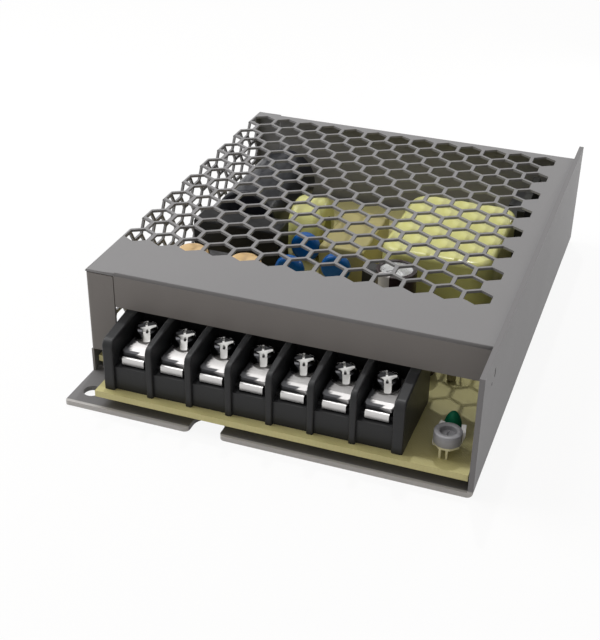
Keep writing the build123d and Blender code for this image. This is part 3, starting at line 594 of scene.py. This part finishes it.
def struck(shape, x, y):
    # at a place of the head: the share of the recess, its floor's height, and the shares of the slot
    # behind it and of the socket; the recess's half width grows from the slot's at a slope up to the
    # arms' reach; the floor falls to the rim in front and climbs steeply behind
    soft = shape["soft"]
    flared = shape["slotHalf"] + shape["flare"] * np.maximum(y - shape["flareFrom"], 0)
    half = np.minimum(flared, shape["armReach"])
    past = y - shape["centre"]
    floor = shape["floor"] + np.where(past < 0, shape["fall"], shape["wall"]) * past
    share = softStep(half - np.abs(x), soft) * softStep(shape["armEnd"] - y, soft)
    back = softStep(shape["backHalf"] - np.abs(x + shape["backShift"]), soft) * softStep(y, soft)
    back *= softStep(shape["backReach"] - y, soft)
    socket = softStep(shape["socket"] - np.hypot(x, past), soft)
    return share, floor, back, socket


def screwGrid(shape):
    # polar grid: rings over the crown, down the rim, in to the shank and along it; the top sinks to
    # the recess floor; the shank's radius swings with the turn plus the height over the pitch
    around = np.linspace(0, 2 * np.pi, shape["around"], endpoint=False)
    head = shape["headRadius"]
    ringRadius = head * np.linspace(0.0, 1.0, shape["headRings"])
    edge = shape["edge"]
    side = np.array([
        [head, shape["rim"] - 0.02], [head, edge], [head - 0.3 * edge, 0.3 * edge], [head - edge, 0.0],
        [shape["shank"], 0.0],
    ])
    shank = np.linspace(-0.05, -shape["length"], int(shape["length"] / shape["threadPitch"] * 6))
    radius = np.concatenate([ringRadius, side[:, 0], np.full(len(shank), shape["shank"]), [0.0]])
    height = np.concatenate([domeHeight(shape, ringRadius), side[:, 1], shank, [-shape["length"]]])
    x = radius[:, None] * np.cos(around)
    y = radius[:, None] * np.sin(around)
    height = height[:, None] + 0 * around
    rings = shape["headRings"] + 1
    share, floor, back, socket = struck(shape, x[:rings], y[:rings])
    top = height[:rings]
    sunk = top * (1 - share) + np.minimum(top, floor) * share - socket * shape["socketDepth"]
    height[:rings] = np.minimum(sunk, top - back * shape["backDepth"])
    start = shape["headRings"] + len(side)
    swing = np.abs(((around / (2 * np.pi) + height[start:-1] / shape["threadPitch"]) % 1.0) * 2 - 1)
    fade = np.clip((height[start:-1] + shape["length"]) / 0.5, 0, 1)
    thin = 1 - shape["threadDepth"] / shape["shank"] * (1 - swing) * fade
    x[start:-1] *= thin
    y[start:-1] *= thin
    return np.stack([x, y, height], axis=-1)


def screwBright(shape, points):
    # bright where the recess floor lies under the dome, on the slot behind, on two painted highlights at the
    # dome's far edge, on the head's lower edge as a painted highlight, and on the thread
    x, y, z = points.T
    soft = shape["soft"]
    share, floor, back, socket = struck(shape, x, y)
    recess = share * softStep(domeHeight(shape, np.hypot(x, y)) - floor, 0.05) * (1 - socket)
    recess *= 1 - softStep(z - shape["brightTop"] - 0.15 * x, 0.15)
    # bar and wedge: painted highlights on the dome's far edge
    bar = softStep(0.35 - np.abs(y - 1.6), soft) * softStep(0.95 - np.abs(x + 0.95), soft)
    wedge = softStep(0.34 - np.abs(y - 1.7 + 0.5 * (x - 1)), soft) * softStep(0.6 - np.abs(x - 1.7), soft)
    struckOrPaintedHighlight = np.maximum(np.maximum(recess, back), np.maximum(bar, wedge))
    # up to 0.35 mm the head's lower edge carries a painted highlight; the thread below is bright metal
    return np.where(z > 0.35, struckOrPaintedHighlight, shape["thread"])


# clamp plates: a plate with rounded corners whose top is cut in ribs, each rising slowly to the back
clampShape = {"corner": 0.8, "ribPitch": 1.0, "ribDepth": 0.3, "edge": 0.12, "stations": 25}


def clampGrid(shape, low, high):
    # stations along the plate carry a closed loop, left to right over the top and back below; the
    # half width follows a quarter circle at each corner, the top a saw wave of the distance
    width, length, gauge = ((high - low) / mm)
    ribs = int(length / shape["ribPitch"])
    pitch = length / ribs
    along = np.concatenate([[k * pitch + 0.001, (k + 0.8) * pitch, (k + 0.94) * pitch] for k in range(ribs)])
    ends = shape["corner"] * (1 - np.cos(np.linspace(0, np.pi / 2, 8)))
    along = np.unique(np.concatenate([[0.0], along, ends, length - ends, [length]]))
    phase = (along / pitch) % 1.0
    top = gauge - shape["ribDepth"] * np.where(phase < 0.82, 1 - phase / 0.82, (phase - 0.82) / 0.18)
    near = np.minimum(along, length - along)
    short = np.clip(shape["corner"] - near, 0, shape["corner"])
    half = width / 2 - shape["corner"] + np.sqrt(shape["corner"] ** 2 - short**2)
    across = np.linspace(-1.0, 1.0, shape["stations"])
    edge = shape["edge"]
    upperX = half[:, None] * across
    upperZ = top[:, None] - edge * softStep(np.abs(across) - 0.93, 0.07)
    lowerX = half[:, None] * across[::-1]
    loopX = np.concatenate([upperX, lowerX], axis=1)
    loopZ = np.concatenate([upperZ, 0 * lowerX], axis=1)
    loopY = along[:, None] + 0 * loopX
    grid = np.stack([loopX, loopY, loopZ], axis=-1)
    caps = [row * [0, 1, 0] + [0, 0, gauge / 2] for row in (grid[0], grid[-1])]
    return np.concatenate([caps[0][None], grid, caps[1][None]])


def clampPaintedReflection(points, gauge):
    # the painted reflection's edge swings with the ribs and runs in further towards the front; the front
    # face and the first rib are painted dark too but for a wedge at the right
    x, y, z = points.T
    swing = np.abs((y / clampShape["ribPitch"] % 1.0) * 2 - 1)
    edge = -2.5 + 0.6 * swing + 0.25 * np.sin(y * 1.7) + 1.0 * np.exp(-y / 1.6)
    side = softStep(edge - x, 0.4)
    wedge = softStep(x - 0.2 - 2.4 * np.abs(z / gauge - 0.6), 0.3)
    return np.where(y < 0.7, np.maximum(1 - wedge, side), side)


# the screw's axis stands a little left of the clamp's middle, as in the solids
for number in range(1, screwShape["ways"] + 1):
    axis = boxOf(f"terminal_screw_{number}")[2]
    low, high, middle = boxOf(f"clamp_plate_{number}")
    angle = screwShape["turn"] + screwShape["turnSwing"] * np.sin(number * 2.3)
    centre = np.array([axis[0], axis[1], high[2]])
    screw = meshFrom(f"screw{number}", placed(turnedBy(screwGrid(screwShape), angle), centre), "screwPlate")
    places = turnedBy((readAll(screw.data.vertices, "co") - centre) / mm, -angle)
    shaded(screw, "bright", screwBright(screwShape, places))
    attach(screw, f"screw_{number}")
    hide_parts(f"terminal_screw_{number}")
    centre = np.array([middle[0], low[1], low[2]])
    grid = placed(clampGrid(clampShape, low, high), centre)
    clamp = meshFrom(f"clamp{number}", grid, "clampPlate", sharp=0.35)
    places = (readAll(clamp.data.vertices, "co") - centre) / mm
    shaded(clamp, "paintedReflection", clampPaintedReflection(places, (high[2] - low[2]) / mm))
    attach(clamp, f"clamp_{number}")
    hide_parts(f"clamp_plate_{number}")
print("screws and clamps made")

# trimmer dial: a turned cup with rounded rims and a fine driver slot in its floor
dialShape = {
    "radius": 3.1, "height": 2.75, "cup": 1.82, "depth": 1.1, "edge": 0.28, "floorRings": 26,
    "slotHalf": 0.26, "slotReach": 1.3, "slotDepth": 0.25,
}


def dialGrid(shape):
    # profile from the cup's middle out, over the rim by two quarter circles and down; the floor sinks
    # where a soft band marks the slot
    radius, height, edge, rings = (shape[key] for key in ("radius", "height", "edge", "floorRings"))
    floor = np.full(rings, height - shape["depth"])
    inner = np.stack([np.linspace(0, shape["cup"] - 0.15, rings), floor], axis=-1)
    angle = np.linspace(np.pi, 0, 15)[:, None]
    rimMiddle = (shape["cup"] + radius) / 2
    flat = (radius - shape["cup"]) / 2 - edge
    rim = np.concatenate([
        rimMiddle + flat * np.sign(np.cos(angle)) * (np.abs(np.cos(angle)) > 0.5) + edge * np.cos(angle),
        height - edge + edge * np.sin(angle),
    ], axis=1)
    outer = np.array([[radius, 0.1], [radius - 0.1, 0.0], [0.0, 0.0]])
    grid = lathe(np.concatenate([inner, rim, outer]))
    x, y = grid[:rings, :, 0], grid[:rings, :, 1]
    slot = softStep(shape["slotHalf"] - np.abs(x), 0.1) * softStep(shape["slotReach"] - np.abs(y), 0.1)
    grid[:rings, :, 2] -= slot * shape["slotDepth"]
    return grid


low, high, middle = boxOf("trimmer_dial")
dialFoot = high[2] - dialShape["height"] * mm
grid = placed(dialGrid(dialShape), (middle[0], middle[1], dialFoot))
dial = meshFrom("trimmerCup", grid, "trimmerGrey", sharp=0.9)
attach(dial, "trimmer")
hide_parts("trimmer_dial")

# trimmer foot: an eight-sided plate under the dial, and four thin legs
footShape = {
    "plateRadius": 3.05, "plateGauge": 0.55, "bevel": 0.1, "gap": 0.05,
    "legHalf": 0.24, "legSpread": 0.74, "legShift": -0.25, "legReach": 2.1, "legInset": 0.3,
}


def barGrid(start, end, half, sides=4):
    # a straight bar: a ring of corners about the axis at each end, closed by its middle points
    turn = np.linspace(0, 2 * np.pi, sides, endpoint=False) + np.pi / sides
    start, end = np.array(start, float), np.array(end, float)
    axis = (end - start) / np.linalg.norm(end - start)
    across = np.cross(axis, (0.0, 1.0, 0.0) if abs(axis[1]) < 0.9 else (1.0, 0.0, 0.0))
    across /= np.linalg.norm(across)
    other = np.cross(axis, across)
    ring = (np.cos(turn)[:, None] * across + np.sin(turn)[:, None] * other) * half * np.sqrt(2)
    return np.stack([start + 0 * ring, start + ring, end + ring, end + 0 * ring])


low, high, middle = boxOf("trimmer_base")
footCentre = (middle[0], middle[1], low[2])
plateTop = (dialFoot - low[2]) / mm - footShape["gap"]
plateUnder = plateTop - footShape["plateGauge"]
plateRadius, bevel = footShape["plateRadius"], footShape["bevel"]
plate = turnedBy(lathe([
    (0.0, plateUnder), (plateRadius, plateUnder), (plateRadius, plateTop - bevel),
    (plateRadius - bevel, plateTop), (0.0, plateTop),
], 8), np.pi / 8)
footParts = [meshFrom("trimmerPlate", placed(plate, footCentre), "creamPlastic", sharp=0.3)]
for end in (-1, 1):
    for side in (-1, 1):
        place = (side * footShape["legSpread"] + footShape["legShift"], end * footShape["legReach"])
        bar = barGrid((*place, 0.0), (*place, plateTop - footShape["legInset"]), footShape["legHalf"])
        footParts.append(meshFrom("trimmerLeg", placed(bar, footCentre), "creamPlastic", sharp=0.3))
foot = joinedPiece("trimmerFoot", footParts)
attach(foot, "supply")
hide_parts("trimmer_base")

# trimmer contacts: two flat springs that rise behind the dial and fold over into tabs
springShape = {
    "half": 0.5, "gauge": 0.22, "across": (1.0, 0.25, 0.0), "steps": 8,
    "right": [(91.0, 9.7, 5.4), (91.6, 9.2, 7.4), (92.2, 8.6, 9.2), (92.0, 9.4, 10.2), (91.7, 11.4, 10.4)],
    "left": [(86.9, 8.6, 5.4), (86.1, 7.7, 6.4), (86.6, 9.0, 8.6), (86.8, 10.0, 9.9), (87.2, 11.4, 10.2)],
}


def ribbonGrid(shape, path):
    # a flat strip: the path's points joined by a smooth run, a thin rectangle carried along it, its
    # width across the case and its gauge square to the run
    path = np.array(path, float)
    steps, half, thin = shape["steps"], shape["half"], shape["gauge"] / 2
    place = np.linspace(0, len(path) - 1, (len(path) - 1) * steps + 1)
    centre = np.stack([np.interp(place, np.arange(len(path)), path[:, k]) for k in range(3)], axis=-1)
    kernel = np.ones(steps) / steps
    padded = np.concatenate([np.repeat(centre[:1], steps, 0), centre, np.repeat(centre[-1:], steps, 0)])
    centre = np.stack([np.convolve(padded[:, k], kernel, "same") for k in range(3)], axis=-1)[steps:-steps]
    run = np.gradient(centre, axis=0)
    run /= np.linalg.norm(run, axis=1)[:, None]
    thick = np.cross(run, np.array(shape["across"]) + 0 * run)
    thick /= np.linalg.norm(thick, axis=1)[:, None]
    wide = np.cross(thick, run)
    corners = [(-half, -thin), (half, -thin), (half, thin), (-half, thin)]
    grid = np.stack([centre + wide * a + thick * b for a, b in corners], axis=1)
    caps = [centre[k] + 0 * grid[0] for k in (0, -1)]
    return np.concatenate([caps[0][None], grid, caps[1][None]])


caseCorner = boxOf("base_chassis")[0] * [1, 1, 0]
springs = []
for side in ("left", "right"):
    grid = placed(ribbonGrid(springShape, springShape[side]), caseCorner)
    springs.append(meshFrom(f"spring{side}", grid, "whiteTin", sharp=0.6))
spring = joinedPiece("trimmerSprings", springs)
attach(spring, "supply")
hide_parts("trimmer_clips")

# lamp: a gumdrop on a low flange
lampShape = [
    (0.0, 0.0), (2.1, 0.0), (2.12, 0.5), (2.1, 1.3), (2.02, 2.2), (1.86, 3.1), (1.62, 3.9),
    (1.3, 4.6), (0.98, 5.1), (0.66, 5.42), (0.34, 5.6), (0.15, 5.66), (0.0, 5.68),
]
low, high, middle = boxOf("indicator_lamp")
grid = placed(lathe(lampShape), (middle[0], middle[1], low[2]))
drop = meshFrom("lampDrop", grid, "greenLens", sharp=1.0)
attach(drop, "supply")
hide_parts("indicator_lamp")
print("trimmer and lamp made")

# cover: a merged copy of the folded sheet whose vents open to their real width; the hair left in
# the vents that cross the fold is taken out
ventShape = {
    "cut": 3.3, "real": 3.52, "pitch": 7.01, "rowPitch": 5.89, "side": 3.84, "fold": 1.0, "back": 116.3,
    "rows": 15, "columns": 12, "top": 29.1, "gauge": 0.6, "near": 0.25, "outline": 0.012,
    "bendLine": 0.86, "bendFrom": 0.9, "underside": 28.5, "undersideNear": 0.1,
    "cornerIn": (0.55, 0.85), "cornerUp": (28.25, 28.55), "hairHalf": 3.0,
}


def onOutline(across, along):
    # whether a point lies on a hexagon's outline: its distance from the middle in shares of the flat
    # is 1 there; the hexagon's corners point along
    flat = ventShape["cut"] * np.cos(np.pi / 6)
    slant = np.abs(along) * np.sin(np.pi / 3) + np.abs(across) * np.cos(np.pi / 3)
    return np.abs(np.maximum(np.abs(across), slant) / flat - 1) < ventShape["outline"]


def openVents(points):
    # points in millimetres from the case's left front corner; each one on a vent's outline moves out
    # from the vent's middle by the ratio of the two radii
    shape = ventShape
    pitch = shape["pitch"]
    grow = shape["real"] / shape["cut"] - 1
    row = np.clip(np.rint((shape["back"] - points[:, 1]) / shape["rowPitch"]), 0, shape["rows"])
    moved = points.copy()
    done = np.zeros(len(points), bool)
    for step in (-1, 0, 1):
        line = np.clip(row + step, 0, shape["rows"])
        shift = np.where(line % 2 == 1, pitch / 2, 0.0)
        along = points[:, 1] - (shape["back"] - shape["rowPitch"] * line)
        across = points[:, 0] - (shape["side"] - shift)
        across -= np.clip(np.rint(across / pitch), 0, shape["columns"]) * pitch
        onTop = points[:, 2] > shape["top"] - shape["gauge"] - shape["near"]
        hit = onTop & (line < shape["rows"]) & ~done & onOutline(across, along)
        moved[hit, 0] += across[hit] * grow
        moved[hit, 1] += along[hit] * grow
        done |= hit
        drop = np.where(line % 2 == 1, shift, pitch) - shape["side"] + shape["fold"]
        down = shape["top"] - points[:, 2] - drop
        down -= np.clip(np.rint(down / pitch), 0, 2 + line % 2) * pitch
        hit = (points[:, 0] < shape["gauge"] + shape["near"]) & ~done & onOutline(down, along)
        moved[hit, 2] -= down[hit] * grow
        moved[hit, 1] += along[hit] * grow
        done |= hit
    # on the sheet's underside the vents stop short of the bend's line
    inner = np.abs(moved[:, 2] - shape["underside"]) < shape["undersideNear"]
    inner &= points[:, 0] > shape["bendFrom"]
    moved[inner, 0] = np.maximum(moved[inner, 0], shape["bendLine"])
    return moved


def inFold(face):
    # whether a face lies in the run along the inside of the fold, where the hair is
    spots = (np.array([vertex.co for vertex in face.verts]) - caseCorner) / mm
    low, high = spots.min(axis=0), spots.max(axis=0)
    across, up = ventShape["cornerIn"], ventShape["cornerUp"]
    return across[0] < low[0] and high[0] < across[1] and up[0] < low[2] and high[2] < up[1]


def inVent(face):
    # whether a face of the run crosses a vent on the fold; every second row has one there
    along = (face.calc_center_median().y - caseCorner[1]) / mm
    fromBack = (ventShape["back"] - along) / ventShape["rowPitch"]
    fromRow = abs(fromBack % 2 - 1) * ventShape["rowPitch"]
    return 0 < fromBack < ventShape["rows"] - 1 and fromRow < ventShape["hairHalf"]


# the hair is cut at both ends of each vent on the fold, taken out, and its stubs are closed
sheet = bmesh.new()
sheet.from_mesh(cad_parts["cover"].data)
bmesh.ops.remove_doubles(sheet, verts=sheet.verts, dist=1e-6)
for row in range(1, ventShape["rows"], 2):
    for end in (-1, 1):
        run = [face for face in sheet.faces if inFold(face)]
        geometry = list({vertex for face in run for vertex in face.verts})
        geometry += list({edge for face in run for edge in face.edges}) + run
        level = ventShape["back"] - ventShape["rowPitch"] * row + end * ventShape["hairHalf"]
        bmesh.ops.bisect_plane(
            sheet, geom=geometry, dist=1e-7, plane_co=(0, caseCorner[1] + level * mm, 0), plane_no=(0, 1, 0)
        )
hair = [face for face in sheet.faces if inFold(face) and inVent(face)]
bmesh.ops.delete(sheet, geom=hair, context="FACES")
bmesh.ops.holes_fill(sheet, edges=[edge for edge in sheet.edges if edge.is_boundary])
# short, local triangles, so that hardly any turns over when the outlines move
bmesh.ops.triangulate(sheet, faces=sheet.faces)
flatEdges = [edge for edge in sheet.edges if edge.calc_face_angle(1.0) < 0.001]
bmesh.ops.beautify_fill(sheet, faces=sheet.faces, edges=flatEdges, method="ANGLE")
print("hair faces out:", len(hair), "open edges left:", sum(not edge.is_manifold for edge in sheet.edges))
coverMesh = bpy.data.meshes.new("coverSheet")
sheet.to_mesh(coverMesh)
sheet.free()
points = (readAll(coverMesh.vertices, "co") - caseCorner) / mm
moved = openVents(points)
print("vent points moved:", int((np.abs(moved - points).max(axis=1) > 1e-6).sum()))
before = readAll(coverMesh.polygons, "normal")
coverMesh.vertices.foreach_set("co", (moved * mm + caseCorner).ravel())
coverMesh.update()
after = readAll(coverMesh.polygons, "normal")
print("faces turned over:", int(((before * after).sum(axis=1) < 0.2).sum()))
coverMesh.set_sharp_from_angle(angle=0.5)
coverMesh.materials.clear()
coverMesh.materials.append(looks["coverMetal"])
coverSheet = bpy.data.objects.new("coverSheet", coverMesh)
bpy.context.scene.collection.objects.link(coverSheet)
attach(coverSheet, "supply")
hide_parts("cover")
print("cover made")

# floor and light: the floor is lifted towards white where the camera or a reflection sees it
floorLook = {"colour": (0.86, 0.86, 0.86), "rough": 0.8, "side": 3.0, "drop": 0.0001, "lift": 0.9}
floorMesh = bpy.data.meshes.new("floor")
half = floorLook["side"] / 2
floorCorners = [(-half, -half, 0), (half, -half, 0), (half, half, 0), (-half, half, 0)]
floorMesh.from_pydata(floorCorners, [], [(0, 1, 2, 3)])
floor = bpy.data.objects.new("floor", floorMesh)
floor.location.z = -floorLook["drop"]
bpy.context.scene.collection.objects.link(floor)
floorFinish = Finish("floorPaper", floorLook["colour"], floorLook["rough"])
paths = floorFinish.add("ShaderNodeLightPath").socket.node
seen = Wire(floorFinish, paths.outputs["Is Camera Ray"]) + Wire(floorFinish, paths.outputs["Is Glossy Ray"])
glow = floorFinish.add("ShaderNodeEmission", None, {"Color": (1.0, 1.0, 1.0), "Strength": 1.0})
both = floorFinish.add(
    "ShaderNodeMixShader", None,
    {0: seen * floorLook["lift"], 1: Wire(floorFinish, floorFinish.shader.outputs[0]), 2: glow},
)
floorFinish.tree.links.new(both.socket, floorFinish.tree.nodes["Material Output"].inputs["Surface"])
floorMesh.materials.append(floorFinish.material)

# the sky fills the shade with a warm grey, and looks white to the camera and in reflections
skyLook = {"fill": 0.42, "fillColour": (1.0, 0.94, 0.89), "white": 1.0}
world = bpy.data.worlds.new("studio")
bpy.context.scene.world = world
world.use_nodes = True
worldNodes = world.node_tree.nodes
worldLinks = world.node_tree.links
shown = worldNodes["Background"]
shown.inputs["Color"].default_value = (1.0, 1.0, 1.0, 1.0)
shown.inputs["Strength"].default_value = skyLook["white"]
fill = worldNodes.new("ShaderNodeBackground")
fill.inputs["Color"].default_value = (*skyLook["fillColour"], 1.0)
fill.inputs["Strength"].default_value = skyLook["fill"]
lightPath = worldNodes.new("ShaderNodeLightPath")
chosen = lightPath.outputs["Is Camera Ray"]
for ray in ("Is Glossy Ray", "Is Transmission Ray"):
    either = worldNodes.new("ShaderNodeMath")
    either.operation = "MAXIMUM"
    worldLinks.new(chosen, either.inputs[0])
    worldLinks.new(lightPath.outputs[ray], either.inputs[1])
    chosen = either.outputs[0]
blend = worldNodes.new("ShaderNodeMixShader")
worldLinks.new(chosen, blend.inputs[0])
worldLinks.new(fill.outputs[0], blend.inputs[1])
worldLinks.new(shown.outputs[0], blend.inputs[2])
worldLinks.new(blend.outputs[0], worldNodes["World Output"].inputs["Surface"])



def aimed(holder, right, up, back, place):
    # a lamp or a camera set by its three directions and its place, and put in the scene
    rows = [[right[i], up[i], back[i], place[i]] for i in range(3)]
    holder.matrix_world = Matrix(rows + [[0, 0, 0, 1]])
    bpy.context.scene.collection.objects.link(holder)


# square lamps, each of which faces the middle of the case's footprint
lamps = {
    "keyLamp": {"place": (-0.115, 0.37, 0.92), "power": 2.3, "size": 0.025},
    "overheadLamp": {"place": (-0.30, -0.02, 0.36), "power": 1.35, "size": 0.3},
    "rightLamp": {"place": (0.11, 0.20, 0.05), "power": 0.16, "size": 0.06},
}
for lampName, lamp in lamps.items():
    light = bpy.data.lights.new(lampName, "AREA")
    light.energy = lamp["power"]
    light.size = lamp["size"]
    away = np.array(lamp["place"]) / np.linalg.norm(lamp["place"])
    side = np.cross((0.0, 0.0, 1.0), away)
    side /= np.linalg.norm(side)
    aimed(bpy.data.objects.new(lampName, light), side, np.cross(away, side), away, lamp["place"])

# camera of the photograph: right, up and back directions, place and lens
cameraLook = {
    "right": (0.93936518, 0.34261778, 0.01435665), "up": (-0.18627491, 0.47466942, 0.86022706),
    "back": (0.28791442, -0.81074163, 0.50970902), "place": (0.07997927, -0.26343466, 0.16044722),
    "lens": 67.367, "sensor": 36.0, "near": 0.01, "far": 20.0,
}
camera = bpy.data.cameras.new("photoView")
camera.lens = cameraLook["lens"]
camera.sensor_width = cameraLook["sensor"]
camera.clip_start = cameraLook["near"]
camera.clip_end = cameraLook["far"]
viewer = bpy.data.objects.new("photoView", camera)
aimed(viewer, *(cameraLook[key] for key in ("right", "up", "back", "place")))
bpy.context.scene.camera = viewer
bpy.context.scene.view_settings.view_transform = "Standard"
